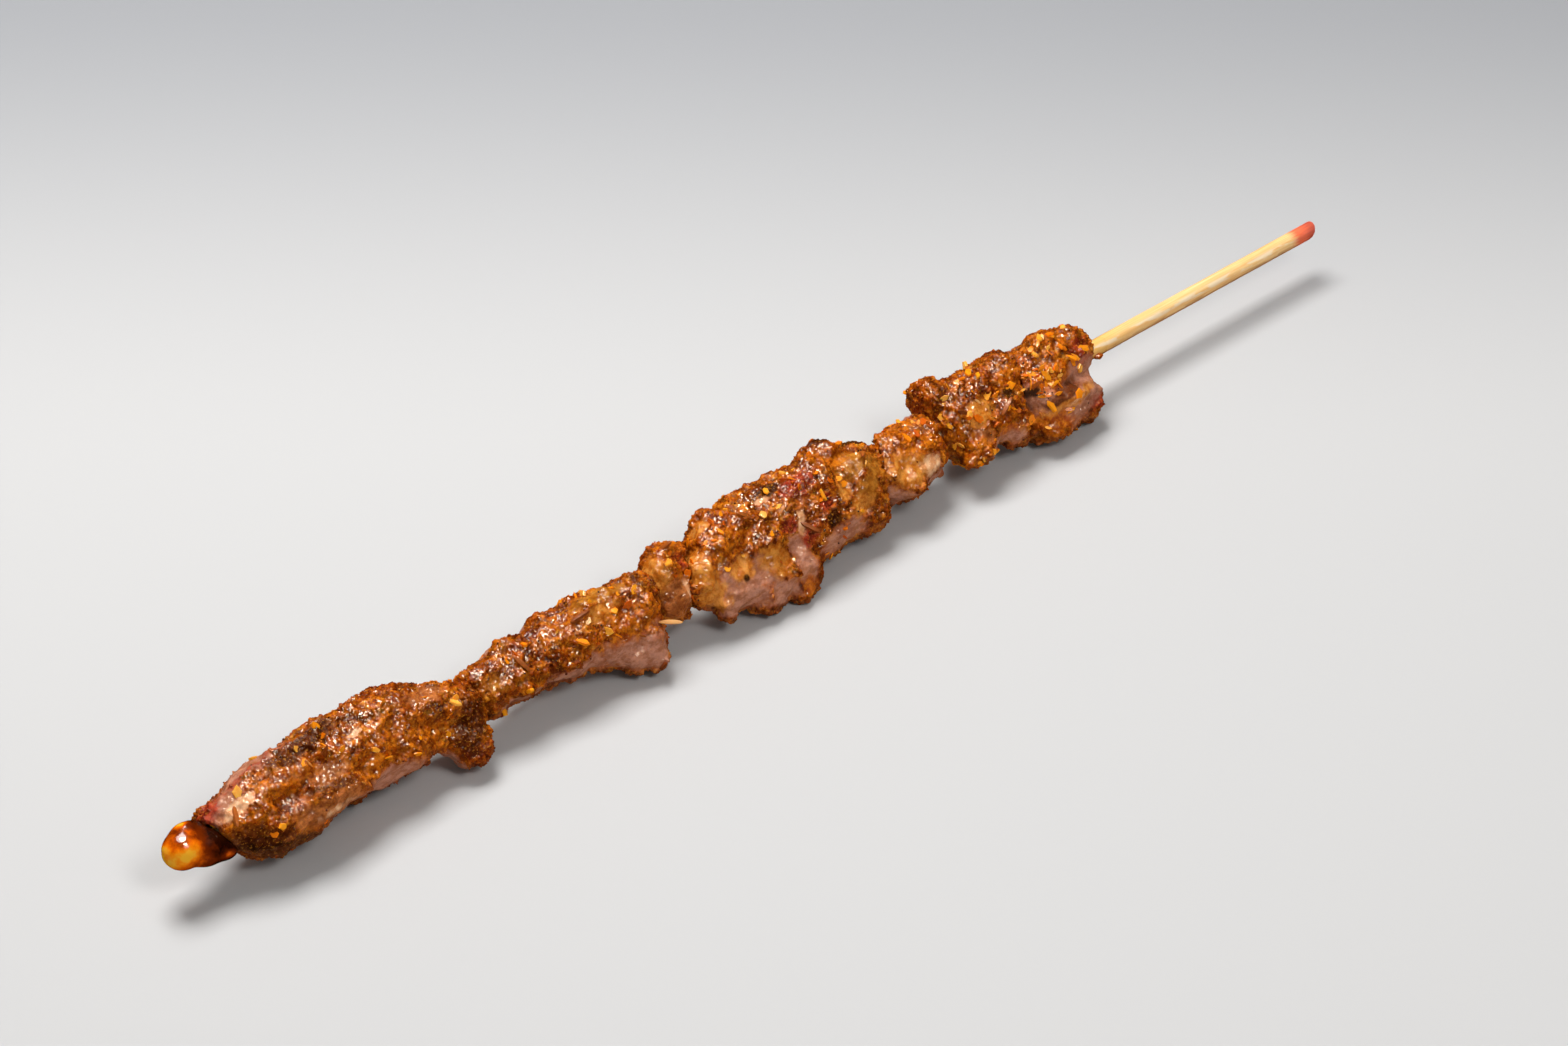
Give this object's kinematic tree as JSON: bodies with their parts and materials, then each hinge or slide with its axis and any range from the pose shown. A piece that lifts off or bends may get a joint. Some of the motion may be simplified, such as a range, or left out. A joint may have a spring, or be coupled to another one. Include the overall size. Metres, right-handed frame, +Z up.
{
  "type": "beef kebab skewer",
  "caption": "Grilled beef kebab on a round bamboo skewer, spiced with chilli flakes and cumin, with a golden nugget of fat at the tip and a red-dyed handle end.",
  "frame": {"origin": "on the surface the kebab lies on, under the middle of its bounding box", "axes": "+X along the skewer from the meat end to the handle, +Z up, -Y towards the side that is shown in front"},
  "size_m": [0.2998, 0.0232, 0.0206],
  "materials": {
    "bamboo": "pale dry bamboo, slightly oily near the meat, dyed coral red at the handle end",
    "grilled_fat": "glossy translucent amber fat",
    "grilled_beef": "browned, oily, spiced grilled meat with pinkish and tan patches"
  },
  "bodies": {
    "root": {"skewer_stick": "bamboo", "fat_nugget": "grilled_fat", "meat_1": "grilled_beef", "meat_2": "grilled_beef", "meat_3": "grilled_beef", "meat_4": "grilled_beef", "meat_5": "grilled_beef", "meat_6": "grilled_beef", "meat_7": "grilled_beef"}
  },
  "joints": []
}
